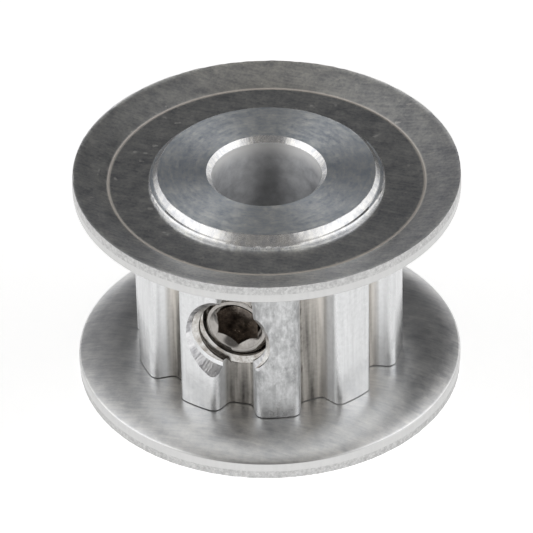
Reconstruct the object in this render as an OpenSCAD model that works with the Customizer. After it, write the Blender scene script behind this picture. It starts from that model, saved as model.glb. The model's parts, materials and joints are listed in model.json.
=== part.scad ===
// Flanged timing belt pulley for trapezoidal toothed belts, with one set screw.
// The bore axis is +Z and the lower hub end lies on z = 0.
// The set screw's axis is -Y. All sizes are in millimetres.

/* [Belt teeth] */
// Number of teeth
tooth_count = 10; // [10:1:16]
// Belt pitch, from tooth to tooth along the pitch line
belt_pitch = 5.08; // [5.08:0.01:5.2]
// Distance from the pitch line down to the tooth tips
pitch_line_offset = 0.254; // [0.2:0.001:0.4]
// Depth of a groove below the tooth tips
groove_depth = 1.25; // [1:0.05:1.5]
// Width of a groove at its bottom, between the extended flanks
groove_bottom_w = 1.32; // [1.2:0.01:1.5]
// Angle of each flank from the groove's centre line
flank_angle = 25; // [20:1:28]
// Radius in the corners at the bottom of a groove
root_fillet_r = 0.41; // [0.2:0.01:0.45]
// Radius on the edges of a tooth tip
tip_round_r = 0.5; // [0.2:0.01:0.6]
// Width of the toothed face, between the two flanges
face_w = 10.18; // [9.6:0.01:14]
// Turn of the nearest groove from the set screw's axis
groove_turn = 2.5; // [-3:0.1:3]

/* [Flanges] */
// Outer diameter of both flanges
flange_d = 22.35; // [21:0.05:26]
// Thickness of the flange sheet
flange_t = 1.07; // [0.8:0.01:1.3]
// Radius of the bend between the flat centre and the flared rim
bend_r = 9.1; // [8.6:0.1:9.6]
// Radial width of the rounded bend
bend_w = 0.4; // [0.2:0.05:0.8]
// Rise of the upper flange's rim over its flat centre
upper_flare = 0.63; // [0.3:0.01:1]
// Drop of the lower flange's rim below its flat centre
lower_flare = 0.69; // [0.3:0.01:1]
// Radius of the seat that each flange is pushed over
seat_r = 6.2; // [5.5:0.05:6.3]
// Radial clearance between the seat and the flange
seat_gap = 0.02; // [0.01:0.01:0.1]

/* [Hub ends] */
// Radius of the flat ring at each end of the hub
end_face_r = 6.28; // [5.2:0.01:6.4]
// Radius of the rolled lip that holds each flange
lip_r = 6.8; // [6.5:0.05:7]
// Height of the chamfer from the end face to the lip
lip_chamfer_h = 0.45; // [0.2:0.01:0.6]
// How far each end face stands past its flange's rim
end_stand = 0.05; // [0:0.01:0.5]

/* [Bore] */
// Diameter of the shaft bore
bore_d = 6.35; // [5:0.01:6.5]
// Chamfer at each end of the bore
bore_chamfer = 0.29; // [0.1:0.01:0.5]

/* [Set screw] */
// Outside diameter of the thread
screw_d = 4.826; // [4:0.001:5]
// Overall length of the screw
screw_len = 3.175; // [3:0.005:3.3]
// Distance from the bore axis to the screw's socket end
screw_face_s = 6.4; // [6.4:0.05:7]
// Height of the screw's axis above the middle of the toothed face
screw_rise = 0.24; // [-1:0.01:1]
// Diameter of the flat ring around the socket
screw_face_d = 3.56; // [3.2:0.01:4]
// Socket size across flats
socket_af = 2.38; // [2:0.01:2.5]
// Depth of the socket
socket_depth = 1.6; // [1.2:0.1:1.8]
// Diameter of the 90 degree countersink at the socket's mouth
socket_mouth_d = 3.1; // [2.8:0.01:3.2]
// Turn of the socket's corners about the screw's axis
socket_turn = 33; // [0:1:60]
// Diameter of the cup point's cutting edge
cup_d = 2.4; // [2:0.05:3]
// Radial clearance around the thread
thread_gap = 0.037; // [0.01:0.001:0.1]
// Distance from the bore axis at which the 90 degree countersink is as wide as the hole
sink_s = 7.4; // [7:0.05:7.6]
// Sideways shift of the countersink from the hole's axis
sink_shift_x = -0.3; // [-0.4:0.05:0.4]
// Shift of the countersink along the bore axis
sink_shift_z = -0.2; // [-0.4:0.05:0.4]

/* [Hidden] */

$fn = 96;
EPS = 0.01;
ROUND_STEPS = 6;
LAND_STEPS = 6;

PITCH_R = tooth_count * belt_pitch / (2 * PI);
TIP_R = PITCH_R - pitch_line_offset;
ROOT_R = TIP_R - groove_depth;
TOOTH_STEP = 360 / tooth_count;
GROOVE_START = -90 + groove_turn;

FLANGE_R = flange_d / 2;
FLANGE_HOLE_R = seat_r + seat_gap;
LOWER_OUT_Z = end_stand + lower_flare;
LOWER_IN_Z = LOWER_OUT_Z + flange_t;
UPPER_IN_Z = LOWER_IN_Z + face_w;
UPPER_OUT_Z = UPPER_IN_Z + flange_t;
TOP_Z = UPPER_OUT_Z + upper_flare + end_stand;
BEND_STEPS = 6;

BORE_R = bore_d / 2;

SCREW_Z = (LOWER_IN_Z + UPPER_IN_Z) / 2 + screw_rise;
SCREW_R = screw_d / 2;
SCREW_TIP_S = screw_face_s - screw_len;
SCREW_FACE_R = screw_face_d / 2;
SCREW_CHAMFER = SCREW_R - SCREW_FACE_R;
CUP_R = cup_d / 2;
CUP_CHAMFER = 0.5;
CUP_DEPTH = 0.45;
SOCKET_MOUTH_R = socket_mouth_d / 2;
HOLE_R = SCREW_R + thread_gap;
// The countersink's cone starts inside the hole and ends outside the teeth
SINK_BACK = 0.5;
SINK_H = TIP_R + 1 - sink_s + SINK_BACK;

ALU = [0.80, 0.81, 0.83];
SHEET = [0.58, 0.59, 0.60];
STEEL = [0.42, 0.40, 0.38];

// Points on an arc about a centre, from one angle to another
function arc(centre, r, from, to, steps) =
    [for (i = [0 : steps])
        let (a = from + (to - from) * i / steps)
        centre + r * [cos(a), sin(a)]];

function reversed(points) = [for (i = [len(points) - 1 : -1 : 0]) points[i]];
function mirrored(points) = [for (p = points) [p.x, -p.y]];
function turned(points, a) =
    [for (p = points) [p.x * cos(a) - p.y * sin(a), p.x * sin(a) + p.y * cos(a)]];

// Centre of the round on a tooth's edge, beside a groove on the +X axis
function tip_centre() =
    let (m = tan(flank_angle),
         c = groove_bottom_w / 2 - ROOT_R * m + tip_round_r / cos(flank_angle),
         a = 1 + m * m,
         k = c * c - pow(TIP_R - tip_round_r, 2),
         x = (-m * c + sqrt(m * m * c * c - a * k)) / a)
    [x, m * x + c];

// Upper half of a groove on the +X axis, from the tooth's tip down to the flat bottom
function groove_side() =
    let (tip = tip_centre(),
         tip_angle = atan2(tip.y, tip.x),
         fillet_y = groove_bottom_w / 2 - root_fillet_r * tan(45 - flank_angle / 2))
    concat(
        arc(tip, tip_round_r, tip_angle, flank_angle - 90, ROUND_STEPS),
        arc([ROOT_R + root_fillet_r, fillet_y], root_fillet_r, 90 + flank_angle, 180, ROUND_STEPS)
    );

// A groove and the tooth land after it, which ends where the next groove begins
function tooth_points() =
    let (side = groove_side(),
         edge = atan2(side[0].y, side[0].x),
         land = arc([0, 0], TIP_R, edge, TOOTH_STEP - edge, LAND_STEPS))
    concat(mirrored(side), reversed(side), [for (i = [1 : LAND_STEPS - 1]) land[i]]);

module tooth_outline() {
    one = tooth_points();
    polygon([
        for (n = [0 : tooth_count - 1])
            for (p = turned(one, GROOVE_START + n * TOOTH_STEP)) p
    ]);
}

// The spindle, revolved from [radius, z]: end faces, lips and flange seats
module spindle() {
    rotate_extrude()
        polygon([
            [0, 0],
            [end_face_r, 0],
            [lip_r, lip_chamfer_h],
            [lip_r, LOWER_OUT_Z],
            [seat_r, LOWER_OUT_Z],
            [seat_r, UPPER_OUT_Z],
            [lip_r, UPPER_OUT_Z],
            [lip_r, TOP_Z - lip_chamfer_h],
            [end_face_r, TOP_Z],
            [0, TOP_Z]
        ]);
}

module bore() {
    translate([0, 0, -1]) cylinder(h = TOP_Z + 2, r = BORE_R);
    for (end = [0, 1])
        translate([0, 0, end * TOP_Z]) mirror([0, 0, end])
            translate([0, 0, -EPS])
                cylinder(h = bore_chamfer + EPS, r1 = BORE_R + bore_chamfer + EPS, r2 = BORE_R);
}

// Places children made along +Z so that they point along the screw's axis
module on_screw_axis() {
    translate([0, 0, SCREW_Z]) rotate([90, 0, 0]) children();
}

module screw_hole() {
    on_screw_axis() {
        cylinder(h = TIP_R + 1, r = HOLE_R);
        translate([sink_shift_x, sink_shift_z, sink_s - SINK_BACK])
            cylinder(h = SINK_H, r1 = HOLE_R - SINK_BACK, r2 = HOLE_R - SINK_BACK + SINK_H);
    }
}

module hub() {
    color(ALU)
        difference() {
            union() {
                translate([0, 0, LOWER_IN_Z]) linear_extrude(face_w) tooth_outline();
                spindle();
            }
            bore();
            screw_hole();
        }
}

// One edge of the bent sheet, from the flat centre to the flared rim
function bend_edge(z, flare) =
    let (rim_run = FLANGE_R - bend_r,
         slope = flare / rim_run)
    [for (i = [0 : BEND_STEPS])
        let (t = i / BEND_STEPS)
        [bend_r - bend_w / 2 + t * bend_w, z + slope * bend_w * t * t / 2]];

// A stamped flange whose flat inner face is on z = 0 and whose rim flares upwards
module flange(flare) {
    under = bend_edge(0, flare);
    over = bend_edge(flange_t, flare);
    rotate_extrude()
        polygon(concat(
            [[FLANGE_HOLE_R, 0]],
            under,
            [[FLANGE_R, flare], [FLANGE_R, flange_t + flare]],
            [for (i = [BEND_STEPS : -1 : 0]) over[i]],
            [[FLANGE_HOLE_R, flange_t]]
        ));
}

module upper_flange() {
    color(SHEET) translate([0, 0, UPPER_IN_Z]) flange(upper_flare);
}

module lower_flange() {
    color(SHEET) translate([0, 0, LOWER_IN_Z]) mirror([0, 0, 1]) flange(lower_flare);
}

// The set screw's body, revolved from [radius, distance from the bore axis], with its cup point
module screw_blank() {
    rotate_extrude()
        polygon([
            [0, SCREW_TIP_S + CUP_DEPTH],
            [CUP_R, SCREW_TIP_S],
            [SCREW_R, SCREW_TIP_S + CUP_CHAMFER],
            [SCREW_R, screw_face_s - SCREW_CHAMFER],
            [SCREW_FACE_R, screw_face_s],
            [0, screw_face_s]
        ]);
}

module socket() {
    hex_r = socket_af / 2 / cos(30);
    translate([0, 0, screw_face_s - socket_depth]) rotate(socket_turn)
        cylinder(h = socket_depth + 1, r = hex_r, $fn = 6);
    translate([0, 0, screw_face_s - SOCKET_MOUTH_R])
        cylinder(h = SOCKET_MOUTH_R + EPS, r1 = 0, r2 = SOCKET_MOUTH_R + EPS);
}

module set_screw() {
    color(STEEL)
        on_screw_axis()
            difference() {
                screw_blank();
                socket();
            }
}

hub();
upper_flange();
lower_flange();
set_screw();
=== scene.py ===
"""Timing belt pulley: the visual model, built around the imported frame.

Sizes are in millimetres and turn into metres where a mesh is made. Heights, radii
and places that the frame knows are read from it.
"""

import json
import math

import bpy
from mathutils import Matrix, Vector, noise


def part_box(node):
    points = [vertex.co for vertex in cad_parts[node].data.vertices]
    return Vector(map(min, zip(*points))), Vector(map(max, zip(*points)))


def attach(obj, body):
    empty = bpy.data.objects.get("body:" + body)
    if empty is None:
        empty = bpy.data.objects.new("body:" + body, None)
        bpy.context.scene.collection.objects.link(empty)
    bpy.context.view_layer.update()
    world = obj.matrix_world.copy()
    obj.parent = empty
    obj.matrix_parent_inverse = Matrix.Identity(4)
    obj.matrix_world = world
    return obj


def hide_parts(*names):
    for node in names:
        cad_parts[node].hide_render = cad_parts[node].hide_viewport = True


MM = 0.001
Z_AXIS = Vector((0, 0, 1))


def node_box(name):
    """A CAD node's lowest and highest corners, in millimetres."""
    low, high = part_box(name)
    return low / MM, high / MM


# ---------------------------------------------------------------- the frame

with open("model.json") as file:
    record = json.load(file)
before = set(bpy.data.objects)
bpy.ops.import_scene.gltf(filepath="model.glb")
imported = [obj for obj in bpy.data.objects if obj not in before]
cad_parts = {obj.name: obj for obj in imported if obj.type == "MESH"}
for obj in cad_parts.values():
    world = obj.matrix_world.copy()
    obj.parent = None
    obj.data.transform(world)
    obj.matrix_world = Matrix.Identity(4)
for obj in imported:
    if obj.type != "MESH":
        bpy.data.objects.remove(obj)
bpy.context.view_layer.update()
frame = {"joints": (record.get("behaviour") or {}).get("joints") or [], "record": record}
mounts = {mount["name"]: mount for mount in frame["record"]["mounts"]}
_, hub_high = node_box("hub")
upper_low, upper_high = node_box("upper_flange")
lower_low, lower_high = node_box("lower_flange")
screw_low, screw_high = node_box("set_screw")

TOP_Z = hub_high.z
FLANGE_R = upper_high.x
BORE_R = mounts["shaft_bore"]["dims"]["r_mm"]
SCREW_Z = mounts["screw_socket"]["pos_m"][2] / MM
SCREW_FACE_S = -screw_low.y
SCREW_TIP_S = -screw_high.y
SCREW_R = screw_high.x
TURNS_OUT = 3
THREAD_PITCH = frame["joints"][0]["range_m"][1] / MM / TURNS_OUT
THREAD_HALF_ANGLE = math.pi / 6
THREAD_TURNS = 7

# Belt teeth
TOOTH_COUNT = 10
BELT_PITCH = 5.08
PITCH_LINE_OFFSET = 0.254
GROOVE_DEPTH = 1.25
TIP_R = TOOTH_COUNT * BELT_PITCH / (2 * math.pi) - PITCH_LINE_OFFSET
ROOT_R = TIP_R - GROOVE_DEPTH
GROOVE_BOTTOM_W = 1.32
FLANK = math.radians(25)
ROOT_FILLET_R = 0.41
TIP_ROUND_R = 0.5
GROOVE_TURN = 2.5
GROOVE_START = math.radians(-90 + GROOVE_TURN)
TOOTH_END_INSET = 0.09
TOOTH_END_H = 0.05

# Flanges
UPPER_FLARE = 0.63
LOWER_FLARE = 0.69
FLANGE_T = upper_high.z - upper_low.z - UPPER_FLARE
BEND_R = 9.1
INNER_BEND_START = 8.3
INNER_BEND_END = 10.1
BEND_LINE_W = 0.09
FLANGE_HOLE_R = 6.22
LOWER_OUT_Z = lower_low.z + LOWER_FLARE
LOWER_IN_Z = lower_high.z
UPPER_IN_Z = upper_low.z
UPPER_OUT_Z = UPPER_IN_Z + FLANGE_T
RIM_W = 0.06
SHEARED_TO = 1.19

# Hub ends
END_FACE_R = 6.28
SEAT_R = 6.2
LIP_R = 6.8
LIP_SLOPE = 1.02
PINCH_ANGLE = math.radians(17)
SPINDLE_WALL_R = 4.6
BORE_CHAMFER = 0.29

# Set screw and its hole
HOLE_R = 2.45
HOLE_CREST_R = 2.06
THREAD_ROOT_R = 1.94
SINK_S = 7.4
SINK_START_S = 7.15
SINK_SHIFT_X = -0.3
SINK_SHIFT_Z = -0.2
PAST_TEETH = 1.5
SCREW_FACE_R = 1.78
SOCKET_AF = 2.38
SOCKET_DEPTH = 1.6
SOCKET_MOUTH_R = 1.55
SOCKET_TURN = math.radians(33)
CUP_R = 1.2
CUP_DEPTH = 0.45
CUP_CHAMFER = 0.5

# Angle of the tooth that carries painted shade, half a tooth's step after the screw's groove
SHADED_TOOTH = GROOVE_START + math.radians(18)

# Studio
FLOOR_R = 900
FLOOR_SIDES = 64

# The photograph's camera, about the part's own frame
CAMERA_AZIMUTH = math.radians(17.4)
CAMERA_ELEVATION = math.radians(36.66)
CAMERA_ROLL = math.radians(-1.1)
CAMERA_DISTANCE = 355.2
CAMERA_DROP = 5.47
CAMERA_LENS = 418.3


# ---------------------------------------------------------------- mesh helpers


def waver(angle, lobes, seed):
    """Smooth noise from about -1 to 1 that closes on itself round a full turn."""
    reach = lobes / 2
    return 2 * noise.noise(Vector((math.cos(angle) * reach, math.sin(angle) * reach, seed)))


def arc(centre, radius, start, end, steps):
    """Points on an arc about a centre, from one angle to another."""
    turns = [start + (end - start) * i / steps for i in range(steps + 1)]
    return [(centre[0] + radius * math.cos(a), centre[1] + radius * math.sin(a)) for a in turns]


def new_piece(name, points, faces, place=None):
    """A mesh object from points in millimetres, moved by an optional matrix."""
    mesh = bpy.data.meshes.new(name)
    mesh.from_pydata([Vector(p) * MM for p in points], [], faces)
    if place is not None:
        mesh.transform(place)
    mesh.validate()
    mesh.update()
    piece = bpy.data.objects.new(name, mesh)
    bpy.context.scene.collection.objects.link(piece)
    return piece


def revolved(name, profile_at, segments, place=None):
    """A closed ring whose (radius, z) outline at each angle is profile_at(angle)."""
    points, faces = [], []
    count = len(profile_at(0))
    for i in range(segments):
        angle = 2 * math.pi * i / segments
        c, s = math.cos(angle), math.sin(angle)
        points += [(r * c, r * s, z) for r, z in profile_at(angle)]
    for i in range(segments):
        here, after = i * count, (i + 1) % segments * count
        for j in range(count):
            k = (j + 1) % count
            faces.append((here + j, after + j, after + k, here + k))
    return new_piece(name, points, faces, place)


def turned_solid(name, profile, segments, place=None):
    """A solid of revolution from (radius, z) points that start and end on the axis."""
    inner = profile[1:-1]
    points = [(0, 0, profile[0][1])]
    for i in range(segments):
        angle = 2 * math.pi * i / segments
        points += [(r * math.cos(angle), r * math.sin(angle), z) for r, z in inner]
    points.append((0, 0, profile[-1][1]))
    last, count, faces = len(points) - 1, len(inner), []
    for i in range(segments):
        here, after = 1 + i * count, 1 + (i + 1) % segments * count
        faces.append((0, after, here))
        for j in range(count - 1):
            faces.append((here + j, after + j, after + j + 1, here + j + 1))
        faces.append((here + count - 1, after + count - 1, last))
    return new_piece(name, points, faces, place)


def prism(name, outline, low, high, place=None):
    """A straight prism over an outline of (x, y) points."""
    count = len(outline)
    points = [(x, y, z) for z in (low, high) for x, y in outline]
    faces = [tuple(reversed(range(count))), tuple(range(count, 2 * count))]
    for i in range(count):
        j = (i + 1) % count
        faces.append((i, j, count + j, count + i))
    return new_piece(name, points, faces, place)


def applied(piece):
    """Turns a piece's modifiers into its own mesh."""
    graph = bpy.context.evaluated_depsgraph_get()
    old = piece.data
    piece.data = bpy.data.meshes.new_from_object(piece.evaluated_get(graph))
    piece.modifiers.clear()
    bpy.data.meshes.remove(old)


def combine(piece, tool, operation):
    """Joins, cuts or intersects a piece with a tool, and deletes the tool."""
    change = piece.modifiers.new("change", "BOOLEAN")
    change.operation = operation
    change.solver = "EXACT"
    change.object = tool
    bpy.context.view_layer.update()
    applied(piece)
    bpy.data.objects.remove(tool)


def smooth(piece, sharp_angle=20):
    """Shades a piece smooth, with its real edges sharp and its flats kept flat."""
    piece.data.shade_smooth()
    piece.data.set_sharp_from_angle(angle=math.radians(sharp_angle))
    weights = piece.modifiers.new("flat", "WEIGHTED_NORMAL")
    weights.keep_sharp = True
    weights.weight = 100
    applied(piece)


def on_screw_axis():
    """Takes +Z to the screw's axis, which points along -Y from the bore axis."""
    turn = Matrix(((1, 0, 0), (0, 0, -1), (0, 1, 0))).to_4x4()
    return Matrix.Translation((0, 0, SCREW_Z * MM)) @ turn


def threaded_rod(name, radius_at, high, rows=12, around=72):
    """A right-hand threaded rod on the screw's axis; radius_at takes 0 to 1 along the pitch."""
    low = SCREW_FACE_S - THREAD_TURNS * THREAD_PITCH
    turns = math.ceil((high - low) / THREAD_PITCH)
    last = turns * rows
    points = []
    for i in range(last + 1):
        radius = radius_at(i % rows / rows)
        for j in range(around):
            angle = 2 * math.pi * j / around
            z = low + THREAD_PITCH * (i / rows + j / around)
            points.append((radius * math.cos(angle), radius * math.sin(angle), z))

    def at(i, j):
        """The index of point j in row i."""
        return i * around + j

    faces = []
    for i in range(last):
        for j in range(around - 1):
            faces.append((at(i, j), at(i, j + 1), at(i + 1, j + 1), at(i + 1, j)))
        if i + rows < last:
            across = at(i + rows, 0), at(i + rows + 1, 0)
            faces.append((at(i, around - 1), *across, at(i + 1, around - 1)))
    start = [at(0, j) for j in range(around)] + [at(i, 0) for i in range(rows, 0, -1)]
    end = [at(last, j) for j in range(around)]
    end += [at(last - i, around - 1) for i in range(1, rows + 1)]
    points.append((0, 0, low - THREAD_PITCH / 2))
    points.append((0, 0, low + THREAD_PITCH * (turns + 1.5)))
    for i, a in enumerate(start):
        faces.append((len(points) - 2, start[(i + 1) % len(start)], a))
    for i, a in enumerate(end):
        faces.append((len(points) - 1, a, end[(i + 1) % len(end)]))
    return new_piece(name, points, faces, on_screw_axis())


# ---------------------------------------------------------------- hub


def groove_side(steps):
    """Half of a groove that opens along +X, from the tooth's tip down to its flat bottom."""
    slope = math.tan(FLANK)
    c = GROOVE_BOTTOM_W / 2 - ROOT_R * slope + TIP_ROUND_R / math.cos(FLANK)
    a = 1 + slope * slope
    k = c * c - (TIP_R - TIP_ROUND_R) ** 2
    x = (-slope * c + math.sqrt(slope * slope * c * c - a * k)) / a
    tip = (x, slope * x + c)
    fillet_y = GROOVE_BOTTOM_W / 2 - ROOT_FILLET_R * math.tan(math.pi / 4 - FLANK / 2)
    quarter = math.pi / 2
    return arc(tip, TIP_ROUND_R, math.atan2(tip[1], tip[0]), FLANK - quarter, steps) + arc(
        (ROOT_R + ROOT_FILLET_R, fillet_y), ROOT_FILLET_R, quarter + FLANK, math.pi, steps
    )


def tooth_outline(steps=8, land_steps=14):
    """The toothed outline as (x, y) points."""
    side = groove_side(steps)
    edge = math.atan2(side[0][1], side[0][0])
    step = 2 * math.pi / TOOTH_COUNT
    land = arc((0, 0), TIP_R, edge, step - edge, land_steps)[1:-1]
    one = [(x, -y) for x, y in side] + side[::-1] + land
    outline = []
    for n in range(TOOTH_COUNT):
        turn = Matrix.Rotation(GROOVE_START + n * step, 2)
        outline += [turn @ Vector(p) for p in one]
    return outline


def inset(outline, amount):
    """The same outline moved inwards along its normals."""
    moved = []
    for i, p in enumerate(outline):
        along = outline[(i + 1) % len(outline)] - outline[i - 1]
        moved.append(p - Vector((along.y, -along.x)).normalized() * amount)
    return moved


def toothed_ring():
    """The toothed body with softened ends, hollow inside the spindle's wall."""
    outline = tooth_outline()
    count = len(outline)
    small = inset(outline, TOOTH_END_INSET)
    hole = [p.normalized() * SPINDLE_WALL_R for p in outline]
    rings = [
        (hole, LOWER_IN_Z),
        (small, LOWER_IN_Z),
        (outline, LOWER_IN_Z + TOOTH_END_H),
        (outline, UPPER_IN_Z - TOOTH_END_H),
        (small, UPPER_IN_Z),
        (hole, UPPER_IN_Z),
    ]
    points = [(p.x, p.y, z) for ring, z in rings for p in ring]
    faces = []
    for n in range(len(rings)):
        here, after = n * count, (n + 1) % len(rings) * count
        for i in range(count):
            j = (i + 1) % count
            faces.append((here + i, here + j, after + j, after + i))
    return new_piece("hub", points, faces)


def lip(angle, foot, seed):
    """A hub end from its flat face out to the lip's foot, as (radius, depth) points."""
    pinched = math.cos(angle - PINCH_ANGLE) ** 2
    edge = 0.012 * waver(angle, 9, seed + 3) + 0.007 * waver(angle, 60, seed + 5)
    bead = 0.02 * waver(angle, 7, seed + 7) + 0.012 * waver(angle, 50, seed + 9)
    outer = LIP_R - 0.02 + bead
    depths = (0.26, 0.32, 0.37, 0.40, 0.42, 0.45)
    cone = [(END_FACE_R + LIP_SLOPE * depth, depth) for depth in depths]
    rolled = [(6.52, 0.27), (6.535, 0.34), (6.55, 0.385), (6.66, 0.40), (6.71, 0.405)]
    rolled.append((outer - 0.04, 0.43))
    middle = []
    for (r, depth), (rolled_r, rolled_depth) in zip(cone, rolled):
        middle.append((r + (rolled_r - r) * pinched, depth + (rolled_depth - depth) * pinched))
    return [
        (END_FACE_R - 0.02 + edge, 0),
        (END_FACE_R + 0.005 + edge, 0.012),
        (END_FACE_R + 0.03 + edge / 2, 0.04),
        *middle,
        (outer, 0.49),
        (outer + 0.01, foot - 0.09),
        (outer - 0.04, foot),
        (SEAT_R, foot),
    ]


def spindle(angle):
    """The spindle's outline at an angle: bore, end faces and both lips."""
    chamfer_r = BORE_R + BORE_CHAMFER
    lower = [(chamfer_r, 0)] + lip(angle, LOWER_OUT_Z, 11)
    upper = lip(angle, TOP_Z - UPPER_OUT_Z, 31)[::-1] + [(chamfer_r, 0)]
    bore = [(BORE_R, TOP_Z - BORE_CHAMFER), (BORE_R, BORE_CHAMFER)]
    return lower + [(r, TOP_Z - depth) for r, depth in upper] + bore


def thread_groove(turn):
    """Radius of the tapped hole along one pitch."""
    off = abs(turn - 0.5) * THREAD_PITCH
    flank = SCREW_R + 0.12 - off / math.tan(THREAD_HALF_ANGLE)
    return max(HOLE_CREST_R, min(HOLE_R, flank))


def thread_ridge(turn):
    """Radius of the set screw's thread along one pitch."""
    off = abs(turn - 0.5) * THREAD_PITCH
    flank = SCREW_R + 0.05 - off / math.tan(THREAD_HALF_ANGLE)
    return max(THREAD_ROOT_R, min(SCREW_R - 0.01, flank))


def make_hub():
    """The hub: teeth, spindle with its rolled lips, countersink and tapped hole."""
    hub = toothed_ring()
    combine(hub, revolved("spindle", spindle, 360), "UNION")
    reach = TIP_R + PAST_TEETH
    sink = [
        (0, SINK_START_S),
        (HOLE_R + SINK_START_S - SINK_S, SINK_START_S),
        (HOLE_R + reach - SINK_S, reach),
        (0, reach),
    ]
    aside = Matrix.Translation((SINK_SHIFT_X * MM, SINK_SHIFT_Z * MM, 0))
    combine(hub, turned_solid("sink", sink, 180, on_screw_axis() @ aside), "DIFFERENCE")
    combine(hub, threaded_rod("tap", thread_groove, reach), "DIFFERENCE")
    smooth(hub)
    return hub


# ---------------------------------------------------------------- flanges


def flange_outline(flare, seed):
    """A stamped flange's outline at each angle, with its flat back on z = 0, flaring up."""
    width = FLANGE_R - BEND_R
    slope = flare / width

    def rise(x):
        """Height of the flared ring at a share of its width; it is steepest at the bend."""
        return flare * (1.1 * x - 0.1 * x * x)

    run = INNER_BEND_END - INNER_BEND_START
    incline = flare / (FLANGE_R - INNER_BEND_START - run / 2)
    back_bend = []
    for i in range(10):
        back_bend.append((INNER_BEND_START + run * i / 9, incline * run * (i / 9) ** 2 / 2))
    coin = [(-0.16, 0), (-0.09, 0.006), (-0.03, 0.0), (0.02, -0.01), (0.06, 0.006), (0.12, 0.03)]
    front_bend = [(BEND_R + x, z) for x, z in coin]
    front_bend += [(BEND_R + width * x, rise(x)) for x in (0.14, 0.25, 0.4, 0.55, 0.7, 0.85)]

    def at(angle):
        """The outline at one angle, its rim uneven where the sheet was cut."""
        burr = 0.012 + 0.012 * waver(angle, 50, seed)
        bite = 0.012 * waver(angle, 90, seed + 4)
        top = FLANGE_T + flare
        back = [(FLANGE_HOLE_R, 0)] + back_bend
        rim = [
            (FLANGE_R - 0.14, flare - 0.14 * incline),
            (FLANGE_R - 0.06, flare + 0.015),
            (FLANGE_R - 0.02, flare + 0.06),
            (FLANGE_R - 0.006, flare + 0.14),
            (FLANGE_R - 0.006, flare + 0.55),
            (FLANGE_R - 0.018 + bite / 2, flare + 0.60),
            (FLANGE_R - 0.03 + bite, flare + 0.78),
            (FLANGE_R - 0.035 - bite, top - 0.05),
            (FLANGE_R - 0.045, top - burr),
            (FLANGE_R - 0.075, top - burr / 2),
            (FLANGE_R - 0.13, top - 0.13 * slope),
        ]
        front = [(r, z + FLANGE_T) for r, z in front_bend[::-1]]
        return back + rim + front + [(FLANGE_HOLE_R, FLANGE_T)]

    return at


def make_flange(name, flare, place, seed):
    """A flange put in its place, which mirrors it if it flares down."""
    flange = revolved(name, flange_outline(flare, seed), 480, place)
    if place.determinant() < 0:
        flange.data.flip_normals()
    smooth(flange)
    return flange


# ---------------------------------------------------------------- set screw


def make_set_screw():
    """The cup point set screw: a real thread, chamfered ends and a hexagon socket."""
    face = SCREW_FACE_S
    blank = [
        (0, SCREW_TIP_S + CUP_DEPTH),
        (CUP_R - 0.03, SCREW_TIP_S),
        (CUP_R, SCREW_TIP_S),
        (SCREW_R, SCREW_TIP_S + CUP_CHAMFER),
        (SCREW_R, face - (SCREW_R - SCREW_FACE_R)),
        (SCREW_FACE_R + 0.02, face - 0.05),
        (SCREW_FACE_R - 0.02, face - 0.012),
        (SCREW_FACE_R - 0.07, face),
        (0, face),
    ]
    screw = threaded_rod("set_screw_piece", thread_ridge, face + 1)
    combine(screw, turned_solid("blank", blank, 144, on_screw_axis()), "INTERSECT")
    corner_r = SOCKET_AF / 2 / math.cos(math.pi / 6)
    hexagon = arc((0, 0), corner_r, SOCKET_TURN, SOCKET_TURN + 2 * math.pi, 6)[:6]
    key = prism("key", hexagon, face - SOCKET_DEPTH, face + 1, on_screw_axis())
    combine(screw, key, "DIFFERENCE")
    over = 0.1
    mouth = [
        (0, face - SOCKET_MOUTH_R),
        (SOCKET_MOUTH_R - 0.05, face - 0.05),
        (SOCKET_MOUTH_R - 0.02, face - 0.035),
        (SOCKET_MOUTH_R + 0.015, face - 0.01),
        (SOCKET_MOUTH_R + 0.09, face + over),
        (0, face + over),
    ]
    combine(screw, turned_solid("mouth", mouth, 144, on_screw_axis()), "DIFFERENCE")
    smooth(screw)
    return screw


# ---------------------------------------------------------------- material helpers


def add(tree, kind, inputs=None, **settings):
    """Adds a shader node; an input given a socket is linked, anything else is its value."""
    made = tree.nodes.new("ShaderNode" + kind)
    for name, value in settings.items():
        setattr(made, name, value)
    for name, value in (inputs or {}).items():
        if isinstance(value, bpy.types.NodeSocket):
            tree.links.new(value, made.inputs[name])
        else:
            made.inputs[name].default_value = value
    return made


def calc(tree, operation, *values):
    """A math node's result."""
    return add(tree, "Math", dict(enumerate(values)), operation=operation).outputs[0]


def millimetres(tree):
    """The point on the piece, in millimetres."""
    where = add(tree, "TexCoord").outputs["Object"]
    return add(tree, "VectorMath", {0: where, "Scale": 1 / MM}, operation="SCALE").outputs[0]


def stretched(tree, point, scale):
    """A point scaled differently along x, y and z."""
    return add(tree, "VectorMath", {0: point, 1: scale}, operation="MULTIPLY").outputs[0]


def grain(tree, point, scale, detail=3, rough=0.55):
    """Noise from 0 to 1 at so many features a millimetre."""
    inputs = {"Vector": point, "Scale": scale, "Detail": detail, "Roughness": rough}
    return add(tree, "TexNoise", inputs).outputs["Fac"]


def spread(tree, value, low, high, to_low, to_high):
    """A value moved from one range to another, and kept in it."""
    inputs = {0: value, 1: low, 2: high, 3: to_low, 4: to_high}
    return add(tree, "MapRange", inputs).outputs[0]


def polar(tree, point):
    """(angle round the bore axis, radius, z) of a point."""
    parts = add(tree, "SeparateXYZ", {0: point})
    angle = calc(tree, "ARCTAN2", parts.outputs["Y"], parts.outputs["X"])
    squares = [calc(tree, "POWER", parts.outputs[axis], 2.0) for axis in "XY"]
    radius = calc(tree, "SQRT", calc(tree, "ADD", *squares))
    return angle, radius, parts.outputs["Z"]


def vector(tree, x, y, z):
    """A vector or colour from three values."""
    return add(tree, "CombineXYZ", {0: x, 1: y, 2: z}).outputs[0]


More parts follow.
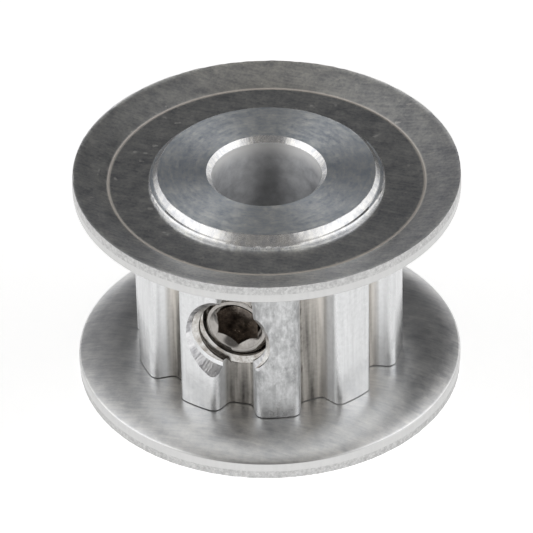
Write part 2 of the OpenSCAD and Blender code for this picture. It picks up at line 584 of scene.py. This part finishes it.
def tinted(tree, value, dark, light):
    """A colour between two, by a value from 0 to 1; either may be another node's colour."""
    mix = add(tree, "Mix", {"Factor": value}, data_type="RGBA")
    for slot, colour in ((6, dark), (7, light)):
        if isinstance(colour, bpy.types.NodeSocket):
            tree.links.new(colour, mix.inputs[slot])
        else:
            mix.inputs[slot].default_value = (*colour, 1)
    return mix.outputs[2]


def new_metal(name):
    """A material with a metallic Principled shader; gives the material, tree and shader."""
    material = bpy.data.materials.new(name)
    material.use_nodes = True
    tree = material.node_tree
    shader = tree.nodes["Principled BSDF"]
    shader.inputs["Metallic"].default_value = 1
    return material, tree, shader


def connect(tree, shader, **inputs):
    """Links or sets a shader's inputs, with spaces in their names as underscores."""
    for name, value in inputs.items():
        socket = shader.inputs[name.replace("_", " ")]
        if isinstance(value, bpy.types.NodeSocket):
            tree.links.new(value, socket)
        else:
            socket.default_value = value


def bumped(tree, height, depth):
    """A normal from a height of 0 to 1 that stands for so many millimetres."""
    inputs = {"Height": height, "Distance": depth * MM, "Strength": 1.0}
    return add(tree, "Bump", inputs).outputs[0]


# ---------------------------------------------------------------- materials


def crossed(tree, first, second):
    """The cross product of two directions."""
    return add(tree, "VectorMath", {0: first, 1: second}, operation="CROSS_PRODUCT").outputs[0]


def across_turning(tree, point):
    """The direction on a turned surface that crosses the lathe's lines round the bore axis."""
    normal = add(tree, "NewGeometry").outputs["Normal"]
    return crossed(tree, normal, crossed(tree, tuple(Z_AXIS), point))


def across_hobbing(tree):
    """The direction on a tooth's surface that crosses the lines along the bore axis."""
    return crossed(tree, add(tree, "NewGeometry").outputs["Normal"], tuple(Z_AXIS))


def scratches(tree, point, turn, density):
    """Short fine scratches that lie across the X axis turned by an angle, from 0 to 1."""
    inputs = {"Vector": point, "Angle": turn}
    swung = add(tree, "VectorRotate", inputs, rotation_type="Z_AXIS").outputs[0]
    thin = grain(tree, stretched(tree, swung, (9.0, 0.7, 1.0)), 1.3, 2, 0.5)
    return spread(tree, thin, 0.75 - density, 0.79 - density, 0, 1)


def turned_aluminium():
    """Lathe-turned end faces: fine circular lines, cloudy patches and a few scratches."""
    material, tree, shader = new_metal("turned_aluminium")
    point = millimetres(tree)
    angle, radius, z = polar(tree, point)
    rings = grain(tree, vector(tree, calc(tree, "MULTIPLY", angle, 1.2), radius, z), 5.0, 4, 0.7)
    clouds = grain(tree, point, 1.3, 5, 0.75)
    marks = calc(tree, "MAXIMUM", scratches(tree, point, 0.5, 0.0), scratches(tree, point, -0.9, 0.01))
    specks = spread(tree, grain(tree, point, 4.5, 3, 0.6), 0.3, 0.7, -0.2, 0.2)
    even = calc(tree, "ADD", spread(tree, calc(tree, "ADD", clouds, rings), 0.75, 1.25, 0, 1), specks)
    metal = tinted(tree, even, (0.74, 0.81, 0.90), (0.98, 1.0, 1.0))
    connect(
        tree,
        shader,
        Base_Color=tinted(tree, marks, metal, (1.0, 1.0, 1.0)),
        Roughness=calc(tree, "MULTIPLY_ADD", marks, 0.1, spread(tree, even, 0, 1, 0.40, 0.52)),
        Anisotropic=0.85,
        Tangent=across_turning(tree, point),
        Normal=bumped(tree, calc(tree, "ADD", rings, specks), 0.006),
    )
    return material


def chamfered_aluminium():
    """Chamfers and rolled lips: bright, with faint facets across them."""
    material, tree, shader = new_metal("chamfered_aluminium")
    point = millimetres(tree)
    angle, radius, z = polar(tree, point)
    place = vector(tree, calc(tree, "MULTIPLY", angle, 6.0), calc(tree, "MULTIPLY", radius, 0.5), z)
    facets = grain(tree, place, 2.6, 3, 0.6)
    specks = grain(tree, point, 6.0, 3, 0.6)
    share = spread(tree, facets, 0.35, 0.65, 0, 1)
    connect(
        tree,
        shader,
        Base_Color=tinted(tree, share, (0.74, 0.75, 0.78), (1.0, 0.99, 0.97)),
        Roughness=spread(tree, specks, 0.3, 0.7, 0.2, 0.3),
        Anisotropic=0.7,
        Tangent=across_turning(tree, point),
        Normal=bumped(tree, facets, 0.006),
    )
    return material


def hobbed_aluminium():
    """Tooth surfaces: pale, lined along z, with painted light on the flanks, painted shade darker and
    browner down in the grooves, and painted shade on one tooth.
    """
    material, tree, shader = new_metal("hobbed_aluminium")
    point = millimetres(tree)
    lines = grain(tree, stretched(tree, point, (1, 1, 0.04)), 4.5, 3, 0.6)
    specks = grain(tree, point, 4.0, 4, 0.65)
    angle, radius, z = polar(tree, point)
    # Painted shade: one tooth, half a step after the screw's groove, is darker, less so near its
    # bottom, and rougher.
    off = calc(tree, "ABSOLUTE", calc(tree, "SUBTRACT", angle, SHADED_TOOTH))
    ragged = calc(tree, "MULTIPLY_ADD", grain(tree, point, 2.0, 4), 0.08, -0.04)
    upper = spread(tree, z, LOWER_IN_Z + 0.6, LOWER_IN_Z + 2.6, 0.35, 1)
    on_tooth = spread(tree, calc(tree, "ADD", off, ragged), 0.20, 0.23, 1, 0)
    tooth_shade = calc(tree, "MULTIPLY", on_tooth, upper)
    patches = grain(tree, stretched(tree, point, (1, 1, 0.5)), 2.2, 5, 0.75)
    patches = spread(tree, patches, 0.4, 0.62, -0.12, 0.12)
    light = calc(tree, "MULTIPLY_ADD", tooth_shade, calc(tree, "SUBTRACT", patches, 0.22), 0.70)
    # Painted light: the flanks and roots are lighter than the lands.
    light = calc(tree, "ADD", light, spread(tree, radius, TIP_R - 0.6, TIP_R - 0.2, 0.2, 0))
    # Painted shade: the groove roots are darker in streaks, more so lower down.
    sunk = spread(tree, radius, ROOT_R + 0.08, ROOT_R + 0.5, 1, 0)
    groove_shade = grain(tree, stretched(tree, point, (1, 1, 0.06)), 1.4, 3)
    groove_shade = spread(tree, groove_shade, 0.38, 0.62, -0.76, -0.40)
    groove_shade = calc(tree, "MULTIPLY", groove_shade, spread(tree, z, SCREW_Z - 1, UPPER_IN_Z - 1, 1, 0.5))
    light = calc(tree, "MULTIPLY_ADD", sunk, groove_shade, light)
    fine = spread(tree, calc(tree, "ADD", specks, lines), 0.7, 1.3, -0.07, 0.07)
    level = calc(tree, "ADD", light, fine)
    rough = spread(tree, specks, 0.3, 0.7, 0.18, 0.28)
    rough = calc(tree, "ADD", rough, spread(tree, radius, TIP_R - 0.35, TIP_R - 0.1, 0.22, 0))
    # The painted shade in the groove roots is browner as well.
    red = calc(tree, "MULTIPLY", level, spread(tree, sunk, 0, 1, 0.99, 1.05))
    blue = calc(tree, "MULTIPLY", level, spread(tree, sunk, 0, 1, 1.01, 0.93))
    connect(
        tree,
        shader,
        Base_Color=vector(tree, red, level, blue),
        Roughness=calc(tree, "MULTIPLY_ADD", tooth_shade, 0.15, rough),
        Anisotropic=0.5,
        Tangent=across_hobbing(tree),
        Normal=bumped(tree, calc(tree, "MULTIPLY_ADD", specks, 0.4, lines), 0.006),
    )
    return material


def bored_aluminium():
    """The reamed bore: lines round it, cloudy, and painted light near its mouths, where it is paler and
    rougher.
    """
    material, tree, shader = new_metal("bored_aluminium")
    point = millimetres(tree)
    _, _, z = polar(tree, point)
    lines = grain(tree, stretched(tree, point, (0.2, 0.2, 1)), 5.0, 4, 0.6)
    clouds = grain(tree, point, 1.2, 4, 0.65)
    # Painted light: paler near both mouths.
    from_middle = calc(tree, "ABSOLUTE", calc(tree, "SUBTRACT", z, TOP_Z / 2))
    mouth_light = spread(tree, from_middle, TOP_Z / 2 - 1.4, TOP_Z / 2 - 0.6, 0, 1)
    metal = tinted(tree, spread(tree, clouds, 0.35, 0.65, 0, 1), (0.66, 0.67, 0.69), (0.86, 0.87, 0.89))
    rough = spread(tree, clouds, 0.3, 0.7, 0.50, 0.60)
    connect(
        tree,
        shader,
        Base_Color=tinted(tree, mouth_light, metal, (1.0, 1.0, 1.0)),
        Roughness=calc(tree, "MULTIPLY_ADD", mouth_light, 0.1, rough),
        Anisotropic=0.9,
        Tangent=across_turning(tree, point),
        Normal=bumped(tree, lines, 0.001),
    )
    return material


def tapped_aluminium():
    """The tapped hole: bright torn flanks, browned by cutting oil."""
    material, tree, shader = new_metal("tapped_aluminium")
    point = millimetres(tree)
    stains = grain(tree, point, 1.6, 4, 0.65)
    share = spread(tree, stains, 0.35, 0.65, 0, 1)
    connect(
        tree,
        shader,
        Base_Color=tinted(tree, share, (0.34, 0.31, 0.28), (0.72, 0.715, 0.70)),
        Roughness=spread(tree, stains, 0.3, 0.7, 0.14, 0.26),
        Normal=bumped(tree, grain(tree, point, 5.0, 3), 0.005),
    )
    return material


def countersunk_aluminium():
    """The countersink: rays left by a chattering tool."""
    material, tree, shader = new_metal("countersunk_aluminium")
    point = millimetres(tree)
    parts = add(tree, "SeparateXYZ", {0: point})
    across = calc(tree, "SUBTRACT", parts.outputs["X"], SINK_SHIFT_X)
    above = calc(tree, "SUBTRACT", parts.outputs["Z"], SCREW_Z + SINK_SHIFT_Z)
    turn = calc(tree, "MULTIPLY", calc(tree, "ARCTAN2", above, across), 3.0)
    along = calc(tree, "MULTIPLY", parts.outputs["Y"], 0.6)
    rays = spread(tree, grain(tree, vector(tree, turn, along, 0), 2.2, 3, 0.6), 0.36, 0.64, 0, 1)
    specks = grain(tree, point, 5.0, 3, 0.6)
    mixed = calc(tree, "MULTIPLY_ADD", specks, 0.3, rays)
    connect(
        tree,
        shader,
        Base_Color=tinted(tree, rays, (0.44, 0.44, 0.46), (0.86, 0.86, 0.87)),
        Roughness=spread(tree, specks, 0.3, 0.7, 0.26, 0.38),
        Normal=bumped(tree, mixed, 0.03),
    )
    return material


def painted_corner_shade():
    """The corner between the teeth's ends and the flanges: painted shade, dark and fading towards +X.
    """
    material, tree, shader = new_metal("painted_corner_shade")
    point = millimetres(tree)
    east = add(tree, "SeparateXYZ", {0: point}).outputs["X"]
    fading_east = spread(tree, calc(tree, "ADD", east, grain(tree, point, 2.0)), 3.0, 5.0, 0, 1)
    shade_colour = tinted(tree, grain(tree, point, 3.0, 4, 0.6), (0.03, 0.027, 0.024), (0.14, 0.13, 0.12))
    connect(
        tree,
        shader,
        Metallic=0.4,
        Base_Color=tinted(tree, fading_east, shade_colour, (0.42, 0.42, 0.42)),
        Roughness=0.5,
    )
    return material


def flange_sheet(name, roughness, darkest, lightest, nicked, relief):
    """Flange sheet: rolled along X and clouded, with a painted highlight along its outer face's bend,
    where it is also rougher.

    roughness is the range from its smoothest to its roughest, all over 0.274, where the
    denoiser would leave dots; nicked is 1 for nicks and dark grit or 0 for none; relief is
    the depth of its unevenness in millimetres.
    """
    material, tree, shader = new_metal(name)
    point = millimetres(tree)
    _, radius, z = polar(tree, point)
    clouds = grain(tree, point, 0.9, 5, 0.72)
    streaks = grain(tree, stretched(tree, point, (0.3, 2.4, 1)), 2.4, 4, 0.65)
    grit = grain(tree, point, 6.0, 3, 0.6)
    nicks = spread(tree, grain(tree, point, 2.4, 2, 0.4), 0.70, 0.735, 0, 1)
    marks = calc(tree, "MAXIMUM", nicks, scratches(tree, point, 1.2, 0.0))
    both = calc(tree, "ADD", calc(tree, "MULTIPLY", clouds, 0.6), calc(tree, "MULTIPLY", streaks, 0.4))
    mottle = spread(tree, both, 0.35, 0.65, 0, 1)
    dark_grit = spread(tree, grit, 0.3, 0.7, -0.25 * nicked, 0.25 * nicked)
    mottle = calc(tree, "ADD", mottle, dark_grit)
    # Painted highlight: a pale, warm, rougher line along the bend, on the outer face only.
    from_line = calc(tree, "ABSOLUTE", calc(tree, "SUBTRACT", radius, BEND_R))
    bend_highlight = spread(tree, from_line, BEND_LINE_W - 0.04, BEND_LINE_W + 0.05, 0.9, 0)
    from_middle = calc(tree, "ABSOLUTE", calc(tree, "SUBTRACT", z, TOP_Z / 2))
    outer_face = calc(tree, "GREATER_THAN", from_middle, UPPER_IN_Z + FLANGE_T * 0.6 - TOP_Z / 2)
    bend_highlight = calc(tree, "MULTIPLY", bend_highlight, outer_face)
    metal = tinted(tree, mottle, darkest, lightest)
    by_bend = spread(tree, radius, BEND_R, BEND_R + 0.9, 0.25, 0)
    by_bend = calc(tree, "MULTIPLY", by_bend, outer_face)
    by_bend = calc(tree, "MULTIPLY", by_bend, calc(tree, "GREATER_THAN", radius, BEND_R))
    metal = tinted(tree, by_bend, metal, (0.1, 0.1, 0.1))
    marks = calc(tree, "MULTIPLY", marks, nicked)
    metal = tinted(tree, calc(tree, "MULTIPLY", marks, 0.7), metal, (1.0, 0.98, 0.95))
    rough = spread(tree, mottle, 0, 1, *roughness)
    rough = calc(tree, "MULTIPLY_ADD", marks, 0.12, rough)
    connect(
        tree,
        shader,
        Base_Color=tinted(tree, bend_highlight, metal, (1.0, 0.94, 0.87)),
        Roughness=calc(tree, "MULTIPLY_ADD", bend_highlight, 0.22, rough),
        Normal=bumped(tree, calc(tree, "ADD", both, calc(tree, "MULTIPLY", grit, 0.4)), relief),
    )
    return material


def upper_sheet():
    """The upper flange's sheet: darker, with nicks and grit."""
    return flange_sheet(
        "upper_sheet",
        roughness=(0.28, 0.34),
        darkest=(0.56, 0.57, 0.60),
        lightest=(1.0, 1.0, 0.97),
        nicked=1.0,
        relief=0.009,
    )


def lower_sheet():
    """The lower flange's sheet: paler and unmarked."""
    return flange_sheet(
        "lower_sheet",
        roughness=(0.28, 0.37),
        darkest=(0.66, 0.67, 0.69),
        lightest=(1.0, 0.995, 0.98),
        nicked=0.0,
        relief=0.014,
    )


def sheared_edge():
    """The flanges' cut rims: smooth where the punch sheared them."""
    material, tree, shader = new_metal("sheared_edge")
    point = millimetres(tree)
    lines = grain(tree, stretched(tree, point, (1, 1, 0.15)), 4.0, 3, 0.6)
    connect(
        tree,
        shader,
        Base_Color=tinted(tree, lines, (0.58, 0.58, 0.58), (0.67, 0.67, 0.665)),
        Roughness=0.34,
        Normal=bumped(tree, lines, 0.004),
    )
    return material


def torn_edge():
    """The rims' last stretch, where the sheet tore: grainy."""
    material, tree, shader = new_metal("torn_edge")
    point = millimetres(tree)
    crumbs = grain(tree, point, 5.0, 5, 0.75)
    share = spread(tree, crumbs, 0.35, 0.65, 0, 1)
    connect(
        tree,
        shader,
        Base_Color=tinted(tree, share, (0.40, 0.40, 0.40), (0.68, 0.68, 0.675)),
        Roughness=spread(tree, crumbs, 0.3, 0.7, 0.36, 0.52),
        Normal=bumped(tree, crumbs, 0.02),
    )
    return material


def screw_steel():
    """Bright turned steel."""
    material, tree, shader = new_metal("screw_finish")
    specks = grain(tree, millimetres(tree), 4.0, 4, 0.6)
    connect(
        tree,
        shader,
        Base_Color=tinted(tree, specks, (0.26, 0.245, 0.23), (0.48, 0.46, 0.44)),
        Roughness=spread(tree, specks, 0.3, 0.7, 0.07, 0.13),
        Normal=bumped(tree, specks, 0.003),
    )
    return material


def socket_steel():
    """The forged socket: the same steel, browned and darker."""
    material, tree, shader = new_metal("socket_steel")
    stains = grain(tree, millimetres(tree), 2.4, 4, 0.65)
    share = spread(tree, stains, 0.35, 0.65, 0, 1)
    connect(
        tree,
        shader,
        Base_Color=tinted(tree, share, (0.12, 0.103, 0.09), (0.32, 0.28, 0.245)),
        Roughness=spread(tree, stains, 0.3, 0.7, 0.14, 0.28),
        Normal=bumped(tree, stains, 0.006),
    )
    return material


def paint(piece, materials, choose):
    """Gives a piece its materials; choose(centre, normal) is a face's index, in millimetres."""
    for material in materials:
        piece.data.materials.append(material)
    for face in piece.data.polygons:
        face.material_index = choose(face.center / MM, face.normal)


# ---------------------------------------------------------------- pieces


def hub_zone(centre, normal):
    """The index of a hub face's material in place_hub()."""
    from_sink = math.hypot(centre.x - SINK_SHIFT_X, centre.z - SCREW_Z - SINK_SHIFT_Z)
    if abs(from_sink - HOLE_R + centre.y + SINK_S) < 0.03 and abs(normal.y + 0.707) < 0.05:
        return 5
    radius = math.hypot(centre.x, centre.y)
    to_screw = Vector((-centre.x, 0, SCREW_Z - centre.z))
    in_wall = HOLE_CREST_R - 0.05 < to_screw.length < HOLE_R + 0.03 and radius > BORE_R + 0.02
    if centre.y < 0 and in_wall and normal.dot(to_screw.normalized()) > 0.3:
        return 4
    if LOWER_IN_Z - 0.01 < centre.z < UPPER_IN_Z + 0.01 and radius > BORE_R + 0.1:
        from_end = min(centre.z - LOWER_IN_Z, UPPER_IN_Z - centre.z)
        # The teeth's softened ends carry the painted corner shade.
        return 6 if from_end < TOOTH_END_H else 1
    if radius < BORE_R + 0.02 and abs(normal.z) < 0.3:
        return 2
    return 0 if abs(normal.z) > 0.98 else 3


def rim_zone(centre, normal, flat_z, side):
    """1 on a flange's sheared rim, 2 on its torn part, 0 on its faces; side is 1 if it flares up."""
    if math.hypot(centre.x, centre.y) < FLANGE_R - RIM_W or abs(normal.z) > 0.8:
        return 0
    return 2 if (centre.z - flat_z) * side > SHEARED_TO else 1


def screw_zone(centre, normal):
    """1 on the socket's walls and floor, 0 elsewhere."""
    depth = SCREW_FACE_S + centre.y
    from_axis = math.hypot(centre.x, centre.z - SCREW_Z)
    wall = abs(normal.y) < 0.3 and from_axis < SOCKET_MOUTH_R - 0.15
    return int(wall or SOCKET_DEPTH / 2 < depth < SOCKET_DEPTH + 0.1)


def place_hub():
    """The hub with its materials, in place of its CAD node."""
    hub = make_hub()
    surfaces = (
        turned_aluminium,
        hobbed_aluminium,
        bored_aluminium,
        chamfered_aluminium,
        tapped_aluminium,
        countersunk_aluminium,
        painted_corner_shade,
    )
    paint(hub, [surface() for surface in surfaces], hub_zone)
    hub.name = "hub_turned"
    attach(hub, "pulley")
    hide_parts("hub")


def place_flanges():
    """Both flanges with their materials, in place of their CAD nodes."""
    up = Matrix.Translation((0, 0, UPPER_IN_Z * MM))
    down = Matrix.Translation((0, 0, LOWER_IN_Z * MM)) @ Matrix.Scale(-1, 4, Z_AXIS)
    sheared, torn = sheared_edge(), torn_edge()
    flanges = (
        ("upper_flange", UPPER_FLARE, up, 51, upper_sheet(), 1),
        ("lower_flange", LOWER_FLARE, down, 71, lower_sheet(), -1),
    )
    for name, flare, place, seed, sheet, side in flanges:
        flange = make_flange(name + "_stamped", flare, place, seed)
        flat_z = place.translation.z / MM

        def choose(centre, normal):
            """The face's material index on this flange."""
            return rim_zone(centre, normal, flat_z, side)

        paint(flange, [sheet, sheared, torn], choose)
        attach(flange, "pulley")
        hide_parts(name)


def place_set_screw():
    """The set screw with its materials, in place of its CAD node."""
    screw = make_set_screw()
    paint(screw, [screw_steel(), socket_steel()], screw_zone)
    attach(screw, "set_screw")
    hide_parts("set_screw")


# ---------------------------------------------------------------- studio

# Light and dark parts of the studio, in degrees: azimuth from the camera's side (+ to the
# right) and elevation of the middle, how far from it each starts to fade and ends, and its
# colour. Later ones lie over earlier ones.
PATCHES = [
    ("haze_right", 138, 54, 8, 20, (0.30, 0.30, 0.30)),
    ("haze_left", -138, 52, 8, 22, (0.32, 0.32, 0.32)),
    ("dark_back", 170, 33, 20, 42, (0.055, 0.055, 0.055)),
    ("right_panel", 88, 38, 8, 32, (1.25, 1.25, 1.25)),
    ("left_panel", -88, 38, 8, 32, (1.25, 1.25, 1.25)),
    ("low_back", 177, 15, 13, 24, (0.08, 0.08, 0.082)),
    ("back_left", -154, 17, 8, 30, (0.16, 0.16, 0.165)),
    ("camera_shade", -5, 49, 20, 34, (0.19, 0.185, 0.18)),
]

# Brightness of the rest by the sine of the elevation; the top is warmer by these shares
SKY_STOPS = [(0.0, 0.95), (0.70, 1.02), (0.86, 0.36), (1.0, 0.17)]
LESS_GREEN = 0.05
LESS_BLUE = 0.14

# The floor's own light, which keeps it near white; it fades to little under the object as a painted
# shadow
FLOOR_GLOW = 0.62
UNDER_GLOW = 0.1


def make_world():
    """The studio around the object: a pale horizon, soft panels at the sides, dark behind."""
    world = bpy.data.worlds.new("studio")
    bpy.context.scene.world = world
    world.use_nodes = True
    tree = world.node_tree
    where = add(tree, "TexCoord").outputs["Generated"]
    height = add(tree, "SeparateXYZ", {0: where}).outputs["Z"]
    ramp = add(tree, "ValToRGB", {"Fac": height})
    stops = ramp.color_ramp.elements
    while len(stops) < len(SKY_STOPS):
        stops.new(1)
    for stop, (position, level) in zip(stops, SKY_STOPS):
        stop.position = position
        warmth = position ** 4
        green = level * (1 - LESS_GREEN * warmth)
        blue = level * (1 - LESS_BLUE * warmth)
        stop.color = (level, green, blue, 1)
    colour = ramp.outputs["Color"]
    for _, azimuth, elevation, inner, outer, light in PATCHES:
        a, e = CAMERA_AZIMUTH + math.radians(azimuth), math.radians(elevation)
        towards = (math.sin(a) * math.cos(e), -math.cos(a) * math.cos(e), math.sin(e))
        facing = add(tree, "VectorMath", {0: where, 1: towards}, operation="DOT_PRODUCT")
        closeness = facing.outputs["Value"]
        share = add(
            tree,
            "MapRange",
            {0: closeness, 1: math.cos(math.radians(outer)), 2: math.cos(math.radians(inner))},
            interpolation_type="SMOOTHSTEP",
        ).outputs[0]
        above_horizon = spread(tree, height, 0.08, 0.16, 0.45, 1.0)
        colour = tinted(tree, calc(tree, "MULTIPLY", share, above_horizon), colour, light)
    connect(tree, tree.nodes["Background"], Color=colour, Strength=1.0)


def make_floor():
    """A plain pale floor, its glow fading under the object as a painted shadow."""
    points = arc((0, 0), FLOOR_R, 0, 2 * math.pi, FLOOR_SIDES)[:FLOOR_SIDES]
    floor = new_piece("floor", [(x, y, 0) for x, y in points], [tuple(range(FLOOR_SIDES))])
    material = bpy.data.materials.new("floor")
    material.use_nodes = True
    tree = material.node_tree
    shader = tree.nodes["Principled BSDF"]
    _, radius, _ = polar(tree, millimetres(tree))
    # Painted shadow: the glow fades from the flanges' rim in to the bore.
    glow_and_shadow = spread(tree, radius, BORE_R, FLANGE_R, UNDER_GLOW, FLOOR_GLOW)
    connect(tree, shader, Base_Color=(0.8, 0.8, 0.8, 1), Roughness=0.9)
    connect(tree, shader, Emission_Color=(1, 1, 1, 1), Emission_Strength=glow_and_shadow)
    floor.data.materials.append(material)


def make_camera():
    """The photograph's camera: it turns about the bore axis at the upper rim's height."""
    camera = bpy.data.objects.new("camera", bpy.data.cameras.new("camera"))
    bpy.context.scene.collection.objects.link(camera)
    bpy.context.scene.camera = camera
    camera.data.sensor_width = 36
    camera.data.lens = CAMERA_LENS
    camera.data.clip_start = 0.01
    camera.data.clip_end = 3
    tilt = Matrix.Rotation(math.pi / 2 - CAMERA_ELEVATION, 4, "X")
    turn = Matrix.Rotation(CAMERA_AZIMUTH, 4, "Z") @ tilt @ Matrix.Rotation(CAMERA_ROLL, 4, "Z")
    pivot = Matrix.Translation((0, 0, upper_high.z * MM))
    offset = Matrix.Translation((0, -CAMERA_DROP * MM, CAMERA_DISTANCE * MM))
    camera.matrix_world = pivot @ turn @ offset


place_hub()
place_flanges()
place_set_screw()
make_floor()
make_world()
make_camera()
bpy.context.scene.view_settings.view_transform = "Standard"
